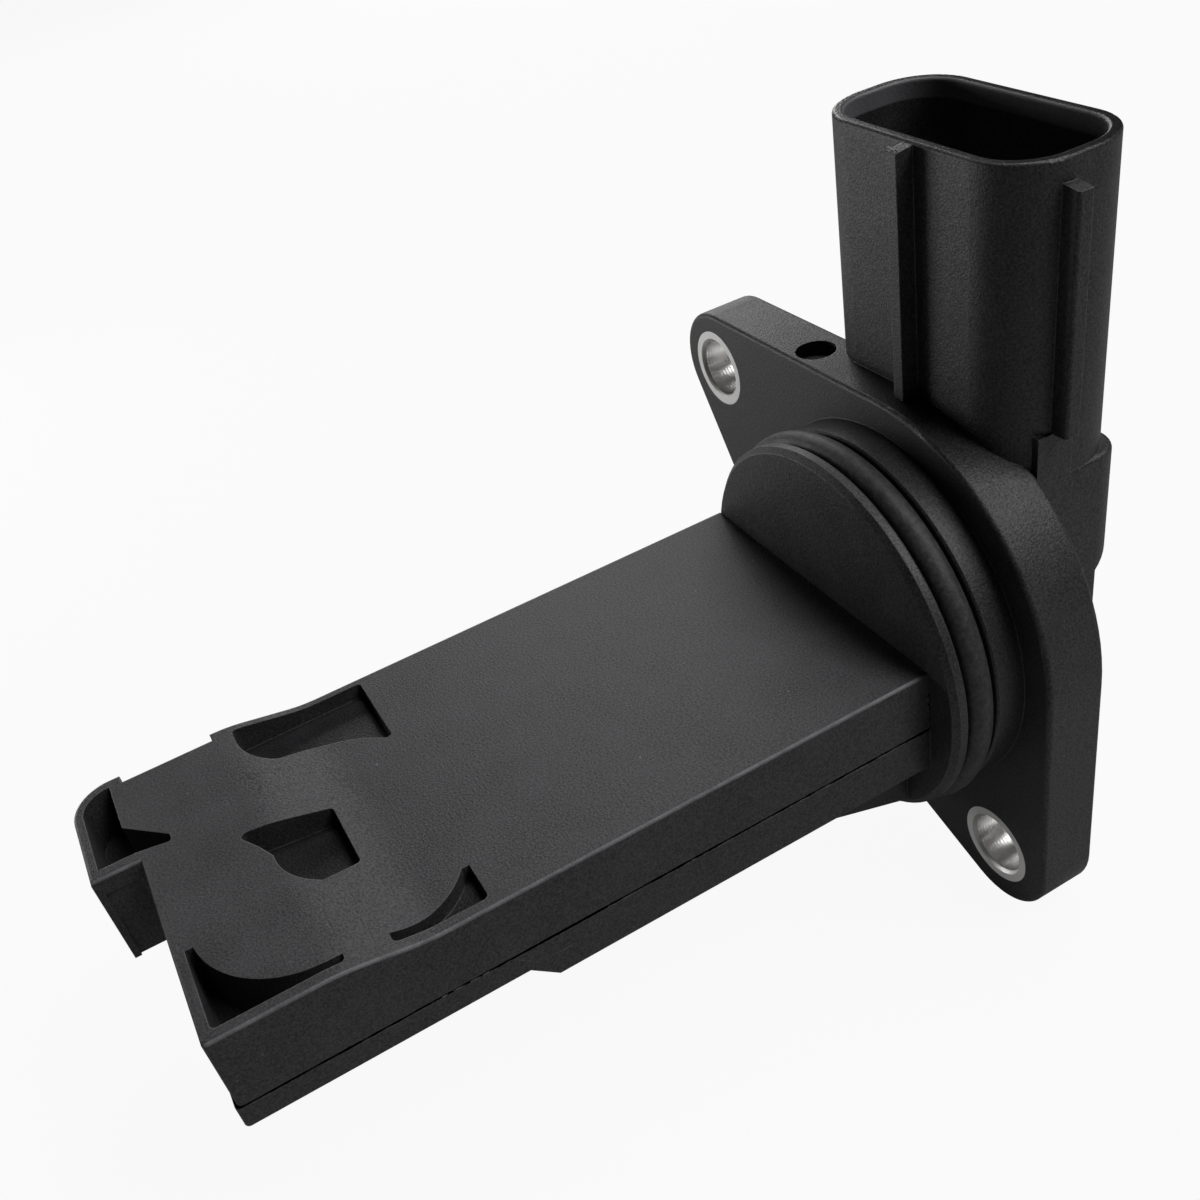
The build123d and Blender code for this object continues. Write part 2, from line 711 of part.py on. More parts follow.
    # Spade-shaped pocket over the island
    with BuildSketch(Plane.XY.offset(pocket_floor_z)):
        with BuildLine():
            Polyline(
                (0.7, tip_y + 9.9),
                (-1.1, tip_y + 9.1),
                (-3.5, tip_y + 7.7),
                (-2.5, tip_y + 15.9),
                (4.9, tip_y + 15.9),
                (5.5, tip_y + 12.6),
            )
            ThreePointArc((5.5, tip_y + 12.6), (3.7, tip_y + 10.6), (0.7, tip_y + 9.9))
        make_face()
        fillet(vertices().group_by(Axis.Y)[-1] + vertices().group_by(Axis.Y)[0], pocket_corner)
    extrude(amount=tip_top_z - pocket_floor_z, mode=Mode.SUBTRACT)
    # Corner pocket outside the second bend
    with BuildSketch(Plane.XY.offset(pocket_floor_z)):
        with BuildLine():
            Polyline(
                (10.4, tip_y + 23.2),
                (pocket_right_x, tip_y + 23.2),
                (pocket_right_x, tip_y + 15.2),
                (13.3, tip_y + 15.2),
            )
            ThreePointArc((13.3, tip_y + 15.2), (12.4, tip_y + 20.4), (10.4, tip_y + 22.5))
            Line((10.4, tip_y + 22.5), (10.4, tip_y + 23.2))
        make_face()
        fillet(vertices().group_by(Axis.X)[-1], pocket_corner)
    extrude(amount=tip_top_z - pocket_floor_z, mode=Mode.SUBTRACT)
    # Corner pocket outside the first bend
    with BuildSketch(Plane.XY.offset(deep_pocket_floor_z)):
        with BuildLine():
            Polyline(
                (6.0, tip_y + 1.0),
                (pocket_right_x, tip_y + 1.0),
                (pocket_right_x, tip_y + 11.5),
                (13.6, tip_y + 11.5),
            )
            ThreePointArc((13.6, tip_y + 11.5), (11.2, tip_y + 4.2), (6.0, tip_y + 1.7))
            Line((6.0, tip_y + 1.7), (6.0, tip_y + 1.0))
        make_face()
        fillet(vertices().group_by(Axis.X)[-1], pocket_corner)
    extrude(amount=tip_top_z - deep_pocket_floor_z, mode=Mode.SUBTRACT)
    # Bent pocket in the guard
    with BuildSketch(Plane.XY.offset(deep_pocket_floor_z)):
        with BuildLine():
            Polyline(
                (pocket_left_x + 2.7, guard_end_y + 0.9),
                (guard_right_x - 1.15, guard_end_y + 0.9),
                (guard_right_x - 1.15, tip_y - 0.2),
                (guard_right_x - 0.55, tip_y + 2.9),
                (guard_right_x - 1.45, tip_y + 2.9),
                (-11.0, tip_y - 0.6),
                (pocket_left_x + 0.2, tip_y - 0.6),
            )
            ThreePointArc(
                (pocket_left_x + 0.2, tip_y - 0.6),
                (pocket_left_x + 0.9, guard_end_y + 1.8),
                (pocket_left_x + 2.7, guard_end_y + 0.9),
            )
        make_face()
        fillet(vertices().group_by(Axis.Y)[-1], guard_pocket_corner)
    extrude(amount=tip_top_z - deep_pocket_floor_z, mode=Mode.SUBTRACT)
probe_cover.part.label = "probe_cover"

# Carrier plate: an aluminium sheet bedded on the chamber's floor
with BuildPart() as carrier_plate:
    with BuildSketch(Plane.XY.offset(chamber_floor_z)):
        with Locations(
            (
                (chamber_left_x + chamber_right_x) / 2,
                (carrier_plate_near_y + chamber_far_y + plate_clearance) / 2,
            )
        ):
            RectangleRounded(
                chamber_right_x - chamber_left_x - 2 * plate_clearance,
                carrier_plate_near_y - chamber_far_y - plate_clearance,
                chamber_corner,
            )
    extrude(amount=carrier_plate_thickness)
carrier_plate.part.label = "carrier_plate"

# Circuit board: ceramic, bonded to the carrier plate
board_width = chamber_right_x - chamber_left_x - 2 * plate_clearance - 2 * board_margin
board_far_y = chamber_far_y + plate_clearance + board_margin / 2
board_near_y = carrier_plate_near_y - board_margin
board_centre_x = (chamber_left_x + chamber_right_x) / 2
with BuildPart() as circuit_board:
    with BuildSketch(Plane.XY.offset(carrier_plate_top_z)):
        with Locations((board_centre_x, (board_near_y + board_far_y) / 2)):
            Rectangle(board_width, board_near_y - board_far_y)
    extrude(amount=board_thickness)
circuit_board.part.label = "circuit_board"

# Signal chip, in the middle of the board
with BuildPart() as signal_chip:
    with BuildSketch(Plane.XY.offset(board_top_z)):
        with Locations((0, (board_near_y + board_far_y) / 2)):
            Rectangle(signal_chip_length, signal_chip_width)
    extrude(amount=signal_chip_height)
    chamfer(signal_chip.faces().sort_by(Axis.Z)[-1].edges(), signal_chip_bevel)
signal_chip.part.label = "signal_chip"

# Capacitors in a row near the terminals
chip_parts = []
for index, chip_x in enumerate((-9.0, -4.5, 6.5)):
    with BuildPart() as capacitor:
        with BuildSketch(Plane.XY.offset(board_top_z)):
            with Locations((chip_x, board_near_y - capacitor_row)):
                Rectangle(capacitor_length, capacitor_width)
        extrude(amount=capacitor_height)
    capacitor.part.label = f"capacitor_{index + 1}"
    chip_parts.append(capacitor.part)

# Resistors in a row near the tongue
for index, chip_x in enumerate((-8.5, 6.0)):
    with BuildPart() as resistor:
        with BuildSketch(Plane.XY.offset(board_top_z)):
            with Locations((chip_x, board_far_y + resistor_row)):
                Rectangle(resistor_length, resistor_width)
        extrude(amount=resistor_height)
    resistor.part.label = f"resistor_{index + 1}"
    chip_parts.append(resistor.part)

# Silicone gel that covers the board and the joints of the terminals
with BuildPart() as board_gel:
    with BuildSketch(Plane.XY.offset(ledge_z)):
        with Locations(((chamber_left_x + chamber_right_x) / 2, (chamber_near_y + chamber_far_y) / 2)):
            RectangleRounded(chamber_right_x - chamber_left_x, chamber_near_y - chamber_far_y, chamber_corner)
    extrude(amount=gel_top_z - ledge_z)
    with BuildSketch(Plane.XY.offset(chamber_floor_z)):
        with Locations(((chamber_left_x + chamber_right_x) / 2, (ledge_far_y + chamber_far_y) / 2)):
            RectangleRounded(chamber_right_x - chamber_left_x, ledge_far_y - chamber_far_y, chamber_corner)
    extrude(amount=ledge_z - chamber_floor_z)
    add(carrier_plate.part, mode=Mode.SUBTRACT)
    add(circuit_board.part, mode=Mode.SUBTRACT)
    add(signal_chip.part, mode=Mode.SUBTRACT)
    add(chip_parts, mode=Mode.SUBTRACT)
    add(chip_carrier.part, mode=Mode.SUBTRACT)
    add(thermistor.part, mode=Mode.SUBTRACT)
    add(terminals, mode=Mode.SUBTRACT)
board_gel.part.label = "board_gel"

pieces = [
    housing.part,
    probe_cover.part,
    cover_seal.part,
    o_ring.part,
    bush_upper.part,
    bush_lower.part,
    carrier_plate.part,
    circuit_board.part,
    signal_chip.part,
    chip_carrier.part,
    sensing_chip.part,
    thermistor.part,
    board_gel.part,
]
for piece in pieces + chip_parts + terminals:
    export_step(piece, f"parts/{piece.label}.step")
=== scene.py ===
import math
import random

import bmesh
import bpy
from mathutils import Matrix, Vector


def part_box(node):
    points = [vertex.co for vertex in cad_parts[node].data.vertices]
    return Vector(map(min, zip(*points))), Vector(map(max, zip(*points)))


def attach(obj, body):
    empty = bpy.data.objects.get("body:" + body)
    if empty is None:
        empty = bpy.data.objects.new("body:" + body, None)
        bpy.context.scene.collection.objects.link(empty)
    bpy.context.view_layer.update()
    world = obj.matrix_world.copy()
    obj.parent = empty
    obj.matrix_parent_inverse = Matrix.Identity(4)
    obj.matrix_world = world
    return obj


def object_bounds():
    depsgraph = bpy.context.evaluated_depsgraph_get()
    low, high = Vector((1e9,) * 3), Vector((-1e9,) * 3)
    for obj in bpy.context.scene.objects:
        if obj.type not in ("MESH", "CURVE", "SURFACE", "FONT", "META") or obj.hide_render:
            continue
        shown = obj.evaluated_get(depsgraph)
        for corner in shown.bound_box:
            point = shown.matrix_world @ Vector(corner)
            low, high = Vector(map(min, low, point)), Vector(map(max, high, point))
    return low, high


bl_info = {
    "name": "Mass airflow sensor",
    "version": (1, 0, 0),
    "blender": (4, 5, 0),
    "location": "View3D > Sidebar > Sensor",
    "description": "Gives a mass airflow sensor its finishes, its small traces of making and its studio",
    "category": "Object",
}

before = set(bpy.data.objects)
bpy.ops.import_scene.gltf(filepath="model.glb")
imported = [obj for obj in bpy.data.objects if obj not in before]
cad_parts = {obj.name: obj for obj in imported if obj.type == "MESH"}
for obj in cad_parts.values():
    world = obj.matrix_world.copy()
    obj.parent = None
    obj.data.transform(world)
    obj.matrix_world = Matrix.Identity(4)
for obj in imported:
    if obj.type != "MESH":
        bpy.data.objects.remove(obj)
CAD_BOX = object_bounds()
MM = 0.001
BODY = "root"

# Places read from the CAD nodes
SEAL_LOW, SEAL_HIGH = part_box("cover_seal")
SEAM_Z = SEAL_HIGH.z
COVER_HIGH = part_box("probe_cover")[1]
HOUSING_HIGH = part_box("housing")[1]

# Sizes that the finishes follow
BLADE_THICKNESS = 0.64 * MM
# Level faces within this height under the shroud's top are its rim
RIM_ROUND = 0.3 * MM
# Height of the painted band of light on the inner walls under the mouth's rim
MOUTH_LIGHT_BAND_HEIGHT = 1.7 * MM
# The pockets' floors lie more than this below the top of the raised tip
POCKET_BELOW_TIP = 2.2 * MM
# The seam shows this far past the adhesive's end, and then the guard begins
SEAM_PAST_SEAL = 1.3 * MM

# Indices of refraction
PLASTIC_IOR = 1.5
RUBBER_IOR = 1.52
SILICONE_IOR = 1.41
GLASS_IOR = 1.52
CHIP_COAT_IOR = 1.6

# Traces of making, in millimetres, read off the photograph
# Strings of adhesive in the seam, painted pale as highlights: place along the probe, and length
SEAM_STRINGS = ((-52.3, 0.7), (-53.3, 1.1), (-54.7, 1.3), (-56.0, 0.7))
# Smear of adhesive at the probe's root: height, and length
ROOT_SMEARS = ((1.9, 1.1), (0.9, 0.9))
# Burrs on the front rib's head and the rim: place, and half the length
BURRS = (
    (0.1, 1.9, 44.5, 0.2), (0.6, 1.8, 44.45, 0.24), (1.0, 2.0, 44.45, 0.16),
    (-7.6, 4.45, 44.6, 0.14), (-7.1, 4.42, 44.62, 0.12), (-6.5, 4.4, 44.6, 0.16),
)

# Soft lamps: name, direction from the object, distance, side and power
LAMPS = (
    ("top_softbox", (-0.15, 0.3, 0.93), 0.6, 0.2, 1.15),
    ("back_right_softbox", (0.45, 0.46, 0.76), 0.6, 0.3, 1.85),
    ("back_left_softbox", (-0.9, 0.35, 0.35), 0.6, 0.3, 1.05),
    ("front_left_softbox", (-0.84, -0.53, 0.02), 0.24, 0.12, 0.22),
)
WHITE = (1, 1, 1, 1)
BLACK = (0, 0, 0, 1)
# Sockets of a Mix node that mixes colours
MIX_SHARE, MIX_UNDER, MIX_OVER, MIX_RESULT = 0, 6, 7, 2
FLOOR_HALF_SIDE = 6.0
# Share of plain white in what the camera sees of the floor. The rest keeps the shadow
FLOOR_WHITE_SHARE = 0.93
# Camera: the sensor's width in millimetres, the shift in sensor widths, the near end in metres
CAMERA_SENSOR = 36
CAMERA_SHIFT = (0.00127, -0.00135)
CAMERA_NEAR = 0.005


def linear(code):
    """Turns an sRGB hex colour to the linear values that the shaders take."""
    parts = [int(code[i : i + 2], 16) / 255 for i in (1, 3, 5)]
    return tuple(p / 12.92 if p <= 0.04045 else ((p + 0.055) / 1.055) ** 2.4 for p in parts)


def shaded(colour, factor=1.0):
    """Multiplies a colour, and adds the fourth channel that a colour socket takes."""
    return (*(channel * factor for channel in tuple(colour)[:3]), 1.0)


class PlasticSettings(bpy.types.PropertyGroup):
    """Black plastic of the housing and the cover"""

    housing_colour: bpy.props.FloatVectorProperty(
        name="Housing colour", description="Colour of the housing's plastic", subtype="COLOR",
        size=3, min=0, max=1, default=linear("#242426"),
    )
    cover_colour: bpy.props.FloatVectorProperty(
        name="Cover colour", description="Colour of the probe cover's plastic", subtype="COLOR",
        size=3, min=0, max=1, default=linear("#272729"),
    )
    # Pale colour of flecks and dust, also used for the painted highlights on edges and the painted band of
    # light inside the mouth
    fleck_dust_and_highlight_colour: bpy.props.FloatVectorProperty(
        name="Pale colour", description="Colour of rubbed edges, dust and glass fibre flecks",
        subtype="COLOR", size=3, min=0, max=1, default=linear("#6d6d70"),
    )
    roughness: bpy.props.FloatProperty(
        name="Roughness", description="Roughness of the moulded skin", subtype="FACTOR",
        min=0, max=1, default=0.5,
    )
    grain: bpy.props.FloatProperty(
        name="Grain", description="Width of one grain of the spark-eroded mould skin",
        subtype="DISTANCE", unit="LENGTH", min=0.05 * MM, max=2 * MM, default=0.2 * MM,
    )
    edge: bpy.props.FloatProperty(
        name="Edge", description="Radius over which the light rounds a sharp edge",
        subtype="DISTANCE", unit="LENGTH", min=0.01 * MM, max=1 * MM, default=0.14 * MM,
    )


class SealSettings(bpy.types.PropertyGroup):
    """Rubber ring and adhesive"""

    rubber_colour: bpy.props.FloatVectorProperty(
        name="Rubber colour", description="Colour of the sealing ring", subtype="COLOR",
        size=3, min=0, max=1, default=linear("#1c1c1e"),
    )
    bead_width: bpy.props.FloatProperty(
        name="Bead width", description="Width of the adhesive that shows in the seam",
        subtype="DISTANCE", unit="LENGTH", min=0.05 * MM, max=1 * MM, default=0.16 * MM,
    )


class MetalSettings(bpy.types.PropertyGroup):
    """Bushes and terminals"""

    bush_colour: bpy.props.FloatVectorProperty(
        name="Bush colour", description="Colour of the turned bushes", subtype="COLOR",
        size=3, min=0, max=1, default=linear("#efeeec"),
    )
    tin_colour: bpy.props.FloatVectorProperty(
        name="Tin colour", description="Colour of the tin-plated terminals", subtype="COLOR",
        size=3, min=0, max=1, default=linear("#cbc9c2"),
    )
    turning_pitch: bpy.props.FloatProperty(
        name="Turning pitch", description="Distance between the tool marks on the bushes",
        subtype="DISTANCE", unit="LENGTH", min=0.05 * MM, max=1 * MM, default=0.22 * MM,
    )


class StudioSettings(bpy.types.PropertyGroup):
    """Camera, lamps and floor"""

    azimuth: bpy.props.FloatProperty(
        name="Azimuth", description="Camera's turn from looking along +Y towards looking along -X",
        subtype="ANGLE", default=math.radians(68.931),
    )
    elevation: bpy.props.FloatProperty(
        name="Elevation", description="Camera's height above the horizon", subtype="ANGLE",
        default=math.radians(36.635),
    )
    roll: bpy.props.FloatProperty(
        name="Roll", description="Camera's turn about its own axis", subtype="ANGLE",
        default=math.radians(-12.1865),
    )
    place: bpy.props.FloatVectorProperty(
        name="Camera place", description="Where the camera stands", subtype="TRANSLATION",
        size=3, default=(0.0821346, -0.0618547, 0.0810222),
    )
    lens: bpy.props.FloatProperty(
        name="Lens", description="Focal length on a 36 mm sensor", subtype="DISTANCE_CAMERA",
        min=1, default=38.454,
    )
    floor_colour: bpy.props.FloatVectorProperty(
        name="Floor colour", description="Colour of the matte pale board", subtype="COLOR",
        size=3, min=0, max=1, default=linear("#b4b4b4"),
    )
    world_light: bpy.props.FloatProperty(
        name="World light", description="Strength of the even light from all round",
        min=0, default=0.01,
    )


def settings(group):
    """Gives one of the scene's property groups."""
    return getattr(bpy.context.scene, group)


def fill(tree, made, inputs):
    """Sets a node's inputs, and links those whose value comes from another node."""
    pairs = inputs.items() if isinstance(inputs, dict) else enumerate(inputs)
    for key, value in pairs:
        if isinstance(value, bpy.types.NodeSocket):
            tree.links.new(value, made.inputs[key])
        else:
            made.inputs[key].default_value = value


def node(tree, kind, inputs=(), output=0, **options):
    """Adds one shader node with its options and its inputs, and gives one of its outputs."""
    made = tree.nodes.new("ShaderNode" + kind)
    for name, value in options.items():
        setattr(made, name, value)
    fill(tree, made, inputs)
    return made.outputs[output]


def material(name):
    """Starts a material: its node tree, its shader and the object's coordinates."""
    made = bpy.data.materials.new(name)
    made.use_nodes = True
    tree = made.node_tree
    return made, tree, tree.nodes["Principled BSDF"], node(tree, "TexCoord", output="Object")


def layered(tree, base, *layers):
    """Lays colours over a base, each by its share."""
    for share, colour in layers:
        inputs = {MIX_SHARE: share, MIX_UNDER: base, MIX_OVER: colour}
        base = node(tree, "Mix", inputs, MIX_RESULT, data_type="RGBA")
    return base


def blotches(tree, place, width, limits, values=(0, 1), detail=3, rough=0.5):
    """Gives blotches of a real width, whose strength runs from one value to another."""
    cloud = node(
        tree, "TexNoise", {"Vector": place, "Scale": 1 / width, "Detail": detail, "Roughness": rough}
    )
    return node(tree, "MapRange", (cloud, *limits, *values))


def numbered(prefix):
    """Gives the names of the CAD nodes that start alike, in order."""
    return sorted(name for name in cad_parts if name.startswith(prefix))


def finish(made, *names):
    """Gives CAD nodes their material."""
    for name in names:
        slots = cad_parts[name].data.materials
        slots.clear()
        slots.append(made)


def inner_band(tree, place, normal, low_z, middle_y):
    """Gives one on walls that face the shroud's middle line above a height, and nothing elsewhere."""
    across = node(tree, "VectorMath", (place, (0, -middle_y, 0)), operation="ADD")
    outward = node(tree, "VectorMath", (across, (1, 1, 0)), operation="MULTIPLY")
    facing = node(tree, "VectorMath", (outward, normal), "Value", operation="DOT_PRODUCT")
    inward = node(tree, "MapRange", (facing, -1 * MM, -2 * MM))
    height = node(tree, "SeparateXYZ", (place,), "Z")
    soft = 0.1 * MM
    above = node(tree, "MapRange", (height, low_z - soft, low_z + soft))
    return node(tree, "Math", (inward, above), operation="MULTIPLY")


def level_faces(tree, place, normal, low_z, high_z):
    """Gives one on faces that look up between two heights, and nothing elsewhere."""
    height = node(tree, "SeparateXYZ", (place,), "Z")
    upward = node(tree, "SeparateXYZ", (normal,), "Z")
    soft = 0.02 * MM
    above = node(tree, "MapRange", (height, low_z, low_z + soft))
    below = node(tree, "MapRange", (height, high_z, high_z - soft))
    inside = node(tree, "Math", (above, below), operation="MULTIPLY")
    level = node(tree, "MapRange", (upward, 0.8, 0.95))
    return node(tree, "Math", (level, inside), operation="MULTIPLY")


def long_edge_highlights(tree, place, normal, share):
    """Gives a patchy painted highlight where a rounded long edge turns from up to sideways."""
    turn = node(tree, "SeparateXYZ", (normal,), "X")
    sideways = node(tree, "Math", (turn,), operation="ABSOLUTE")
    upward = node(tree, "SeparateXYZ", (normal,), "Z")
    turned = node(tree, "Math", (sideways, upward), operation="MULTIPLY")
    edge = node(tree, "MapRange", (turned, 0.15, 0.42, 0, share))
    patches = blotches(tree, place, 2 * MM, (0.3, 0.6), (0.45, 1))
    return node(tree, "Math", (edge, patches), operation="MULTIPLY")


def seam_line(tree, place):
    """Gives one in a ragged line along the probe's seam, and nothing elsewhere."""
    along = node(tree, "SeparateXYZ", (place,), "Y")
    height = node(tree, "SeparateXYZ", (place,), "Z")
    above = node(tree, "Math", (height, SEAM_Z), operation="SUBTRACT")
    off = node(tree, "Math", (above,), operation="ABSOLUTE")
    half_gap = blotches(tree, place, 1.2 * MM, (0.35, 0.65), (0.12 * MM, 0.17 * MM))
    inside = node(tree, "Math", (off, half_gap), operation="LESS_THAN")
    # It runs from the spigot to the tip and stops short of the guard
    end_y = SEAL_LOW.y - SEAM_PAST_SEAL
    from_root = node(tree, "MapRange", (along, COVER_HIGH.y, COVER_HIGH.y - 0.05 * MM))
    to_tip = node(tree, "MapRange", (along, end_y, end_y + 0.1 * MM))
    run = node(tree, "Math", (from_root, to_tip), operation="MULTIPLY")
    return node(tree, "Math", (inside, run), operation="MULTIPLY")


def flecks_dust_and_edge_highlights(tree, place, normal, rounded):
    """Gives the share of fibre flecks, dust and a painted highlight on sharp edges."""
    # Fibre flecks are drawn 0.3 mm wide, coarser than the real 0.02 mm, so that they show
    fleck = blotches(tree, place, 0.3 * MM, (0.62, 0.8), (0, 0.16), 1, 0.4)
    # Dust grains of some 0.2 mm, about one in two square centimetres
    cell = node(tree, "TexVoronoi", {"Vector": place, "Scale": 1 / (4 * MM)}, "Distance")
    dust = node(tree, "MapRange", (cell, 0.035, 0.02, 0, 0.7))
    # Sharp edges get a painted highlight over the radius of the light's rounding
    bend = node(tree, "VectorMath", (rounded, normal), "Value", operation="DOT_PRODUCT")
    edge = node(tree, "MapRange", (bend, 0.995, 0.86, 0, 0.75))
    patches = blotches(tree, place, 2.5 * MM, (0.25, 0.6))
    edge_highlight = node(tree, "Math", (edge, patches), operation="MULTIPLY")
    specks = node(tree, "Math", (fleck, dust), operation="ADD", use_clamp=True)
    return node(tree, "Math", (specks, edge_highlight), operation="ADD", use_clamp=True)


def glass_filled_plastic(name, colour, dullness, mottle, polished, mouth=None, highlighted=0.0):
    """Black glass-filled polyester, injection moulded against a spark-eroded skin.

    The eye sees a matte black with a fine even grain, a faint grey haze of fibres near the skin,
    and a little dust, with a painted highlight on sharp and long edges. Dullness is added to the
    roughness, and mottle is the haze's share. Polished gives the heights between which level faces
    are smooth and painted darker, as painted shade on pocket floors; mouth the low edge and the
    middle line of a painted band of light inside the socket's mouth; and highlighted the share of
    painted highlight on the long edges.
    """
    plastic = settings("sensor_plastic")
    made, tree, surface, place = material(name)
    pale = shaded(plastic.fleck_dust_and_highlight_colour)
    normal = node(tree, "NewGeometry", output="Normal")
    rounded = node(tree, "Bevel", {"Radius": plastic.edge}, samples=6)
    # The skin's grain shows lighter on its tops than in its hollows
    skin = {"Vector": place, "Scale": 1 / plastic.grain, "Detail": 1.5, "Roughness": 0.6}
    grain = node(tree, "TexNoise", skin)
    tops = node(tree, "MapRange", (grain, 0.32, 0.68))
    # Fibre haze lies in blotches some 6 mm wide
    fibres = {"Vector": place, "Scale": 1 / (6 * MM), "Detail": 4, "Roughness": 0.6}
    haze = node(tree, "TexNoise", fibres)
    hazy = node(tree, "MapRange", (haze, 0.3, 0.75, 0, mottle))
    # Pale fibre flecks and dust, and a painted highlight on sharp edges
    marks = flecks_dust_and_edge_highlights(tree, place, normal, rounded)
    layers = [(tops, shaded(colour, 1.62)), (hazy, pale), (marks, pale)]
    # A painted highlight along rounded long edges
    if highlighted:
        layers.append((long_edge_highlights(tree, place, normal, highlighted), pale))
    # A painted band of light on the walls inside the mouth, under its rim
    if mouth:
        band = inner_band(tree, place, normal, *mouth)
        layers.append((node(tree, "Math", (band, 0.75), operation="MULTIPLY"), pale))
    # Level faces between the given heights are smoother and painted darker: painted shade on the pocket
    # floors, and a darker top on the shroud's rim
    smooth_shaded_levels = level_faces(tree, place, normal, *polished)
    layers.append((node(tree, "Math", (smooth_shaded_levels, 0.5), operation="MULTIPLY"), shaded(colour, 0.2)))
    # The seam is a narrow shadow gap
    gap = seam_line(tree, place)
    layers.append((gap, BLACK))
    middle = plastic.roughness + dullness
    rough = node(tree, "MapRange", (haze, 0.25, 0.75, middle - 0.04, middle + 0.05))
    polish = node(tree, "Math", (smooth_shaded_levels, -0.18), operation="MULTIPLY")
    # The hollows of the grain, the polished faces and the gap swallow a part of the shine
    shine = node(tree, "MapRange", (grain, 0.3, 0.7, 0.34, 0.64))
    for share, left in ((smooth_shaded_levels, 0.7), (gap, 0)):
        kept = node(tree, "MapRange", (share, 0, 1, 1, left))
        shine = node(tree, "Math", (shine, kept), operation="MULTIPLY")
    relief = {"Height": grain, "Distance": 0.05 * MM, "Strength": 0.8, "Normal": rounded}
    fill(tree, surface, {
        "Base Color": layered(tree, shaded(colour, 0.42), *layers),
        "Roughness": node(tree, "Math", (rough, polish), operation="ADD", use_clamp=True),
        "IOR": PLASTIC_IOR,
        "Specular IOR Level": shine,
        "Normal": node(tree, "Bump", relief),
    })
    return made


def moulded_rubber(name, colour):
    """Nitrile rubber, compression moulded. Satin black, with a soft sheen and faint talc."""
    made, tree, surface, place = material(name)
    talc = blotches(tree, place, 0.5 * MM, (0.4, 0.75), (0.05, 0.3), 4, 0.7)
    skin = node(tree, "TexNoise", {"Vector": place, "Scale": 1 / (0.3 * MM), "Detail": 2})
    fill(tree, surface, {
        "Base Color": layered(tree, shaded(colour), (talc, shaded(linear("#77777a")))),
        "Roughness": blotches(tree, place, 3 * MM, (0.3, 0.7), (0.52, 0.64)),
        "IOR": RUBBER_IOR,
        "Normal": node(tree, "Bump", {"Height": skin, "Distance": 0.03 * MM}),
    })
    return made


def turned_steel(name, colour, centre, pitch):
    """Free-cutting steel, turned and zinc plated. Bright, with fine rings from the tool."""
    made, tree, surface, place = material(name)
    local = node(tree, "Mapping", {"Vector": place, "Location": [-c for c in centre]})
    # At this scale the wave has one crest in each pitch
    scale = math.tau / (20 * pitch)
    face = {"Vector": local, "Scale": scale, "Distortion": 0.6, "Detail": 2, "Detail Scale": 0.3}
    rings = node(tree, "TexWave", face, "Fac", wave_type="RINGS", rings_direction="Y")
    # The bore's bands are spaced more widely
    wall = {"Vector": local, "Scale": scale / 1.6, "Distortion": 0.8, "Detail": 2}
    feed = node(tree, "TexWave", wall, "Fac", wave_type="BANDS", bands_direction="Y")
    half_rings = node(tree, "Math", (rings, 0.5), operation="MULTIPLY")
    half_feed = node(tree, "Math", (feed, 0.5), operation="MULTIPLY")
    marks = node(tree, "Math", (half_rings, half_feed), operation="ADD", use_clamp=True)
    # The end faces are painted bright with a dull sheen; the bore is smoother and takes a darker copy of
    # the colour, as painted shade
    normal = node(tree, "NewGeometry", output="Normal")
    along = node(tree, "VectorMath", (normal, (0, 1, 0)), "Value", operation="DOT_PRODUCT")
    end_face = node(tree, "Math", (along,), operation="ABSOLUTE")
    cloud = {"Vector": place, "Scale": 1 / (1.4 * MM), "Detail": 4, "Roughness": 0.6}
    stain = node(tree, "TexNoise", cloud)
    stained = node(tree, "MapRange", (stain, 0.45, 0.8, 0, 0.5))
    rough = node(tree, "MapRange", (stain, 0.3, 0.7, 0.26, 0.38))
    dulled = node(tree, "Math", (end_face, 0.28), operation="MULTIPLY")
    rounded = node(tree, "Bevel", {"Radius": 0.08 * MM}, samples=4)
    relief = {"Height": marks, "Distance": 0.02 * MM, "Strength": 0.9, "Normal": rounded}
    # The bore keeps a darker copy of the colour, painted shade; the end faces get the full colour
    layers = (stained, shaded(colour, 0.6)), (end_face, shaded(colour))
    fill(tree, surface, {
        "Base Color": layered(tree, shaded(colour, 0.75), *layers),
        # Dull zinc on the end faces scatters a part of the light
        "Metallic": node(tree, "MapRange", (end_face, 0.5, 1, 1, 0.55)),
        "Roughness": node(tree, "Math", (rough, dulled), operation="ADD", use_clamp=True),
        "Normal": node(tree, "Bump", relief),
    })
    return made


def tin_plate(name, colour):
    """Brass strip, tin plated. Soft silver with a slight cloud from the bath."""
    made, tree, surface, place = material(name)
    cloud = node(tree, "TexNoise", {"Vector": place, "Scale": 1 / (0.8 * MM), "Detail": 3})
    clouded = node(tree, "MapRange", (cloud, 0.35, 0.7))
    fill(tree, surface, {
        "Base Color": layered(tree, shaded(colour), (clouded, shaded(colour, 0.75))),
        "Metallic": 1.0,
        "Roughness": node(tree, "MapRange", (cloud, 0.3, 0.7, 0.28, 0.4)),
    })
    return made


def rolled_aluminium(name, colour):
    """Aluminium sheet, cold rolled. Pale grey with fine lines along the rolling direction."""
    made, tree, surface, place = material(name)
    along = node(tree, "Mapping", {"Vector": place, "Scale": (1, 0.03, 1)})
    lines = node(tree, "TexNoise", {"Vector": along, "Scale": 1 / (0.12 * MM), "Detail": 2})
    fill(tree, surface, {
        "Base Color": layered(tree, shaded(colour), (lines, shaded(colour, 0.8))),
        "Metallic": 1.0,
        "Roughness": node(tree, "MapRange", (lines, 0.3, 0.7, 0.3, 0.42)),
    })
    return made


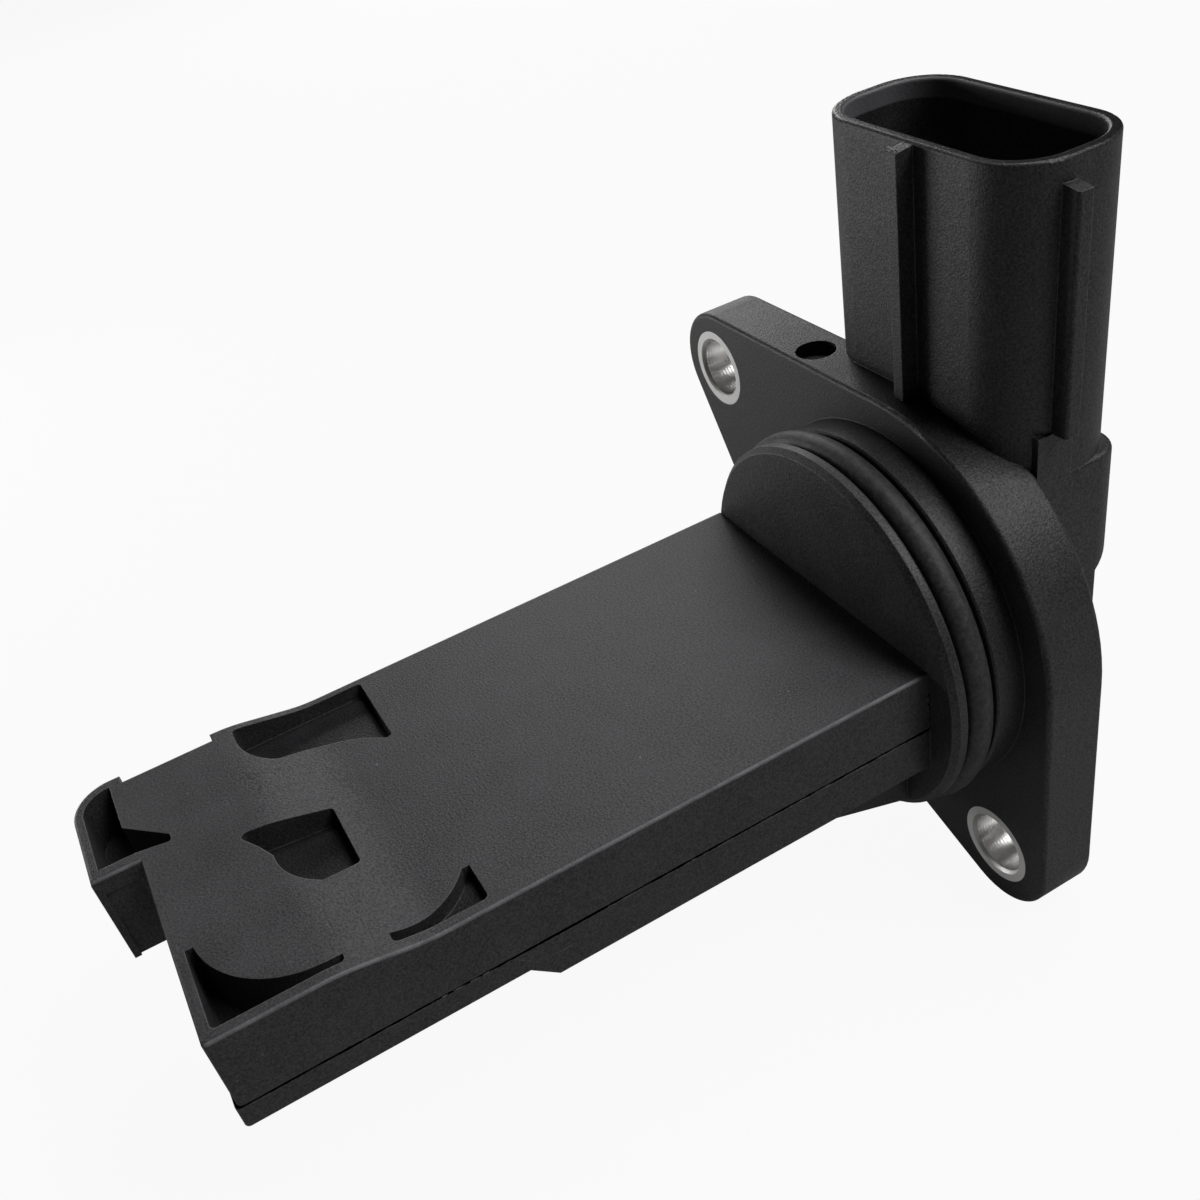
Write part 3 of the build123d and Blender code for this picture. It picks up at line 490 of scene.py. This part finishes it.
def small_solid(name, first, second, width, rough, ior=PLASTIC_IOR, depth=0.0, clear=0.0):
    """A sintered, moulded or cured piece: two close tones in small blotches of a real width.

    Rough gives the lowest and the highest roughness, depth the relief's height where there is
    one, and clear the share of light that passes through.
    """
    made, tree, surface, place = material(name)
    tone = node(tree, "TexNoise", {"Vector": place, "Scale": 1 / width, "Detail": 3})
    fill(tree, surface, {
        "Base Color": layered(tree, shaded(linear(first)), (tone, shaded(linear(second)))),
        "Roughness": node(tree, "MapRange", (tone, 0.3, 0.7, *rough)),
        "IOR": ior,
        "Transmission Weight": clear,
    })
    if depth:
        skin = node(tree, "TexNoise", {"Vector": place, "Scale": 2 / width, "Detail": 2})
        relief = node(tree, "Bump", {"Height": skin, "Distance": depth})
        fill(tree, surface, {"Normal": relief})
    return made


def new_piece(name, mesh_maker, made):
    """Makes a mesh object at the origin, gives it its material and lets it ride on the body."""
    mesh = bpy.data.meshes.new(name)
    shape = bmesh.new()
    mesh_maker(shape)
    bmesh.ops.recalc_face_normals(shape, faces=shape.faces)
    shape.to_mesh(mesh)
    shape.free()
    mesh.materials.append(made)
    for face in mesh.polygons:
        face.use_smooth = True
    piece = bpy.data.objects.new(name, mesh)
    bpy.context.scene.collection.objects.link(piece)
    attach(piece, BODY)


def blob(shape, centre, size, dice, unevenness):
    """Adds one small uneven lump, whose half sizes are given."""
    for vertex in bmesh.ops.create_uvsphere(shape, u_segments=14, v_segments=8, radius=1.0)["verts"]:
        swell = 1 + unevenness * (dice.random() - 0.5)
        vertex.co = Vector(centre) + Vector([c * s * swell for c, s in zip(vertex.co, size)])


class SENSOR_OT_housing(bpy.types.Operator):
    """Finish the housing in black glass-filled plastic"""

    bl_idname = "sensor.housing"
    bl_label = "Housing"

    def execute(self, context):
        colour = settings("sensor_plastic").housing_colour
        top_z = HOUSING_HIGH.z
        # The blades stand in the middle of the socket
        middle_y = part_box("terminal_3")[1].y - BLADE_THICKNESS / 2
        # The rim's level top is smoother and painted darker
        rim = (top_z - RIM_ROUND, top_z + 0.1 * MM)
        # Where the painted band of light inside the mouth begins, and the middle line that its walls face
        mouth = (top_z - MOUTH_LIGHT_BAND_HEIGHT, middle_y)
        made = glass_filled_plastic(
            "moulded_housing_plastic", colour, dullness=0.0, mottle=0.1, polished=rim, mouth=mouth
        )
        finish(made, "housing")
        return {"FINISHED"}


class SENSOR_OT_cover(bpy.types.Operator):
    """Finish the probe cover in black glass-filled plastic"""

    bl_idname = "sensor.cover"
    bl_label = "Probe cover"

    def execute(self, context):
        colour = settings("sensor_plastic").cover_colour
        # Pocket floors are smoother and take painted shade
        pockets = (SEAM_Z - 1 * MM, COVER_HIGH.z - POCKET_BELOW_TIP)
        made = glass_filled_plastic(
            "moulded_cover_plastic", colour, dullness=0.04, mottle=0.14, polished=pockets, highlighted=0.85
        )
        finish(made, "probe_cover")
        return {"FINISHED"}


class SENSOR_OT_seal_ring(bpy.types.Operator):
    """Finish the sealing ring in satin rubber"""

    bl_idname = "sensor.seal_ring"
    bl_label = "Sealing ring"

    def execute(self, context):
        finish(moulded_rubber("nitrile_rubber", settings("sensor_seal").rubber_colour), "o_ring")
        return {"FINISHED"}


class SENSOR_OT_bushes(bpy.types.Operator):
    """Finish both bushes in turned steel"""

    bl_idname = "sensor.bushes"
    bl_label = "Bushes"

    def execute(self, context):
        metal = settings("sensor_metal")
        for name in ("bush_upper", "bush_lower"):
            low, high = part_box(name)
            centre = (low + high) / 2
            made = turned_steel(f"turned_steel_{name}", metal.bush_colour, centre, metal.turning_pitch)
            finish(made, name)
        return {"FINISHED"}


class SENSOR_OT_terminals(bpy.types.Operator):
    """Finish the terminals in tin plate"""

    bl_idname = "sensor.terminals"
    bl_label = "Terminals"

    def execute(self, context):
        made = tin_plate("tin_plated_brass", settings("sensor_metal").tin_colour)
        finish(made, *numbered("terminal_"))
        return {"FINISHED"}


class SENSOR_OT_circuit(bpy.types.Operator):
    """Finish the circuit: carrier plate, board, chips and gel"""

    bl_idname = "sensor.circuit"
    bl_label = "Circuit"

    def execute(self, context):
        sheet = rolled_aluminium("rolled_aluminium", linear("#c9cacb"))
        # Fired alumina is a matte warm white
        board = small_solid("fired_alumina", "#dcd8cb", "#cfcabb", 1.5 * MM, (0.5, 0.62))
        # Moulded epoxy is a dull black with a fine tooth
        epoxy = small_solid("moulded_epoxy", "#1d1d1f", "#262628", 0.4 * MM, (0.5, 0.6), depth=0.01 * MM)
        # Sintered ceramic is brown and a little uneven
        ceramic = small_solid("sintered_capacitor_ceramic", "#8f7656", "#7f6748", 0.4 * MM, (0.45, 0.6))
        # Printed film is near black and smoother than the board
        film = small_solid("resistor_film", "#141416", "#1f1f22", 0.3 * MM, (0.3, 0.4))
        # Silicone gel is wet-looking and half clear
        gel = small_solid("silicone_gel", "#b9b9ae", "#a9a99d", 4 * MM, (0.1, 0.2), SILICONE_IOR, clear=0.5)
        finish(sheet, "carrier_plate")
        finish(board, "circuit_board")
        finish(epoxy, "signal_chip")
        finish(ceramic, *numbered("capacitor_"))
        finish(film, *numbered("resistor_"))
        finish(gel, "board_gel")
        return {"FINISHED"}


class SENSOR_OT_sensing(bpy.types.Operator):
    """Finish the sensing tongue, its chip and the thermistor"""

    bl_idname = "sensor.sensing"
    bl_label = "Sensing parts"

    def execute(self, context):
        # The tongue is the same kind of dull black plastic as the probe
        tongue = small_solid("moulded_tongue_plastic", "#1b1b1d", "#242426", 1 * MM, (0.45, 0.6))
        # Polished silicon under its clear coat is smooth and blue-grey
        chip = small_solid("polished_silicon", "#4a5060", "#3c4252", 0.8 * MM, (0.12, 0.2), CHIP_COAT_IOR)
        # Sealed glass is brown and glossy
        bead = small_solid("sealed_glass_bead", "#5b4a34", "#3c3022", 0.7 * MM, (0.08, 0.16), GLASS_IOR)
        finish(tongue, "chip_carrier")
        finish(chip, "sensing_chip")
        finish(bead, "thermistor")
        return {"FINISHED"}


class SENSOR_OT_adhesive(bpy.types.Operator):
    """Finish the adhesive bead, and add what was squeezed out of the seam"""

    bl_idname = "sensor.adhesive"
    bl_label = "Adhesive"

    def execute(self, context):
        width = settings("sensor_seal").bead_width
        side_x, root_y = COVER_HIGH.x, COVER_HIGH.y
        # Cured silicone is a shiny black
        dark = small_solid(
            "cured_silicone_adhesive", "#171718", "#202022", 1 * MM, (0.2, 0.3), SILICONE_IOR
        )
        # Adhesive squeezed out into thin strings is painted pale, as a painted highlight of the glossy
        # adhesive
        clear = small_solid(
            "adhesive_with_painted_highlight", "#c4c4c0", "#8d8d8a", 0.5 * MM, (0.12, 0.3), SILICONE_IOR
        )
        finish(dark, "cover_seal")

        def seam_beads(shape):
            """Short strings of adhesive along the seam on the downstream side, painted pale as highlights
            """
            dice = random.Random(4)
            for middle, length in SEAM_STRINGS:
                centre = (side_x - 0.6 * width, middle * MM, SEAM_Z - 0.3 * width)
                blob(shape, centre, (0.5 * width, 0.5 * length * MM, 0.5 * width), dice, 0.4)

        new_piece("seam_adhesive", seam_beads, clear)

        def root_beads(shape):
            """A flat smear where the cover's end meets the spigot's face"""
            dice = random.Random(9)
            for middle, length in ROOT_SMEARS:
                centre = (side_x, root_y - 0.05 * MM, middle * MM)
                blob(shape, centre, (0.08 * MM, 0.22 * MM, 0.5 * length * MM), dice, 0.4)

        new_piece("root_adhesive", root_beads, dark)
        return {"FINISHED"}


class SENSOR_OT_flash(bpy.types.Operator):
    """Add the whitened burrs on the shroud's rim and the front rib"""

    bl_idname = "sensor.flash"
    bl_label = "Mould flash"

    def execute(self, context):
        # Plastic that was torn from the mould turns pale and dull
        whitened = small_solid("stress_whitened_plastic", "#8f8f90", "#5c5c5e", 0.3 * MM, (0.5, 0.7))

        def burrs(shape):
            """Ragged crumbs along the rim's inner edge and at the front rib's head"""
            dice = random.Random(2)
            for x, y, z, reach in BURRS:
                centre = (x * MM, y * MM, min(z * MM, HOUSING_HIGH.z - reach * MM))
                blob(shape, centre, (reach * MM, 0.6 * reach * MM, 0.5 * reach * MM), dice, 0.8)

        new_piece("rim_burrs", burrs, whitened)
        return {"FINISHED"}


def seen_directly(tree):
    """Gives one for rays from the camera, also through clear pieces, and nothing for the others."""
    straight = node(tree, "LightPath", output="Is Camera Ray")
    through = node(tree, "LightPath", output="Is Transmission Ray")
    return node(tree, "Math", (straight, through), operation="ADD", use_clamp=True)


def lay_floor(colour):
    """Matte pale board under the object, shown as a white ground that keeps the shadow."""
    made, tree, surface, place = material("matte_pale_board")
    tooth = node(tree, "TexNoise", {"Vector": place, "Scale": 1 / (2 * MM), "Detail": 3})
    fill(tree, surface, {
        "Base Color": layered(tree, shaded(colour), (tooth, shaded(colour, 0.97))),
        "Roughness": 0.9,
    })
    white = node(tree, "Emission", {"Color": WHITE, "Strength": 1.0})
    share = node(tree, "Math", (seen_directly(tree), FLOOR_WHITE_SHARE), operation="MULTIPLY")
    shown = node(tree, "MixShader", (share, surface.outputs[0], white))
    fill(tree, tree.nodes["Material Output"], {"Surface": shown})
    mesh = bpy.data.meshes.new("floor")
    shape = bmesh.new()
    bmesh.ops.create_grid(shape, x_segments=2, y_segments=2, size=FLOOR_HALF_SIDE)
    bmesh.ops.translate(shape, verts=shape.verts, vec=(0, 0, CAD_BOX[0].z))
    shape.to_mesh(mesh)
    shape.free()
    mesh.materials.append(made)
    floor = bpy.data.objects.new("floor", mesh)
    bpy.context.scene.collection.objects.link(floor)


def hang_softbox(name, direction, distance, side, power):
    """Hangs one soft square lamp, pointed at the object's middle."""
    lamp = bpy.data.lights.new(name, "AREA")
    lamp.shape = "SQUARE"
    lamp.size = side
    lamp.energy = power
    hung = bpy.data.objects.new(name, lamp)
    bpy.context.scene.collection.objects.link(hung)
    away = Vector(direction).normalized()
    hung.location = (CAD_BOX[0] + CAD_BOX[1]) / 2 + away * distance
    hung.rotation_mode = "QUATERNION"
    hung.rotation_quaternion = (-away).to_track_quat("-Z", "Y")


def light_world(strength):
    """Even faint light from all round, behind a white that only the camera sees."""
    world = bpy.data.worlds.new("studio_room")
    bpy.context.scene.world = world
    world.use_nodes = True
    tree = world.node_tree
    shown = node(tree, "MapRange", (seen_directly(tree), 0, 1, strength, 1))
    fill(tree, tree.nodes["Background"], {"Color": WHITE, "Strength": shown})


def place_camera(studio):
    """Camera where the photographer's stood, worked out from the photograph's edges."""
    lens = bpy.data.cameras.new("camera")
    lens.sensor_width = CAMERA_SENSOR
    lens.lens = studio.lens
    lens.shift_x, lens.shift_y = CAMERA_SHIFT
    lens.clip_start = CAMERA_NEAR
    camera = bpy.data.objects.new("camera", lens)
    scene = bpy.context.scene
    scene.collection.objects.link(camera)
    turn, lift = studio.azimuth, studio.elevation
    back = Vector((math.sin(turn) * math.cos(lift), -math.cos(turn) * math.cos(lift), math.sin(lift)))
    right = Vector((math.cos(turn), math.sin(turn), 0))
    upright = Matrix((right, back.cross(right), back)).transposed().to_4x4()
    roll = Matrix.Rotation(studio.roll, 4, "Z")
    camera.matrix_world = Matrix.Translation(studio.place) @ upright @ roll
    scene.camera = camera


class SENSOR_OT_studio(bpy.types.Operator):
    """Set the floor, the soft lamps, the world and the camera"""

    bl_idname = "sensor.studio"
    bl_label = "Studio"

    def execute(self, context):
        studio = settings("sensor_studio")
        lay_floor(studio.floor_colour)
        for lamp in LAMPS:
            hang_softbox(*lamp)
        light_world(studio.world_light)
        place_camera(studio)
        context.scene.view_settings.view_transform = "Standard"
        return {"FINISHED"}


STEPS = (
    SENSOR_OT_housing,
    SENSOR_OT_cover,
    SENSOR_OT_seal_ring,
    SENSOR_OT_bushes,
    SENSOR_OT_terminals,
    SENSOR_OT_circuit,
    SENSOR_OT_sensing,
    SENSOR_OT_adhesive,
    SENSOR_OT_flash,
    SENSOR_OT_studio,
)

GROUPS = {
    "sensor_plastic": PlasticSettings,
    "sensor_seal": SealSettings,
    "sensor_metal": MetalSettings,
    "sensor_studio": StudioSettings,
}


class SENSOR_PT_panel(bpy.types.Panel):
    """Lists the sensor's pieces and settings"""

    bl_idname = "SENSOR_PT_panel"
    bl_label = "Mass airflow sensor"
    bl_space_type = "VIEW_3D"
    bl_region_type = "UI"
    bl_category = "Sensor"

    def draw(self, context):
        for step in STEPS:
            self.layout.operator(step.bl_idname)
        for group, kind in GROUPS.items():
            box = self.layout.box()
            for name in kind.__annotations__:
                box.prop(getattr(context.scene, group), name)


def register():
    """Registers the settings, the operators and the panel."""
    for kind in (*GROUPS.values(), *STEPS, SENSOR_PT_panel):
        bpy.utils.register_class(kind)
    for group, kind in GROUPS.items():
        setattr(bpy.types.Scene, group, bpy.props.PointerProperty(type=kind))


def unregister():
    """Takes the settings, the operators and the panel out again."""
    for group in GROUPS:
        delattr(bpy.types.Scene, group)
    for kind in reversed((*GROUPS.values(), *STEPS, SENSOR_PT_panel)):
        bpy.utils.unregister_class(kind)


def main():
    """Runs every step in order."""
    register()
    for step in STEPS:
        group, name = step.bl_idname.split(".")
        getattr(getattr(bpy.ops, group), name)()


if __name__ == "__main__":
    main()
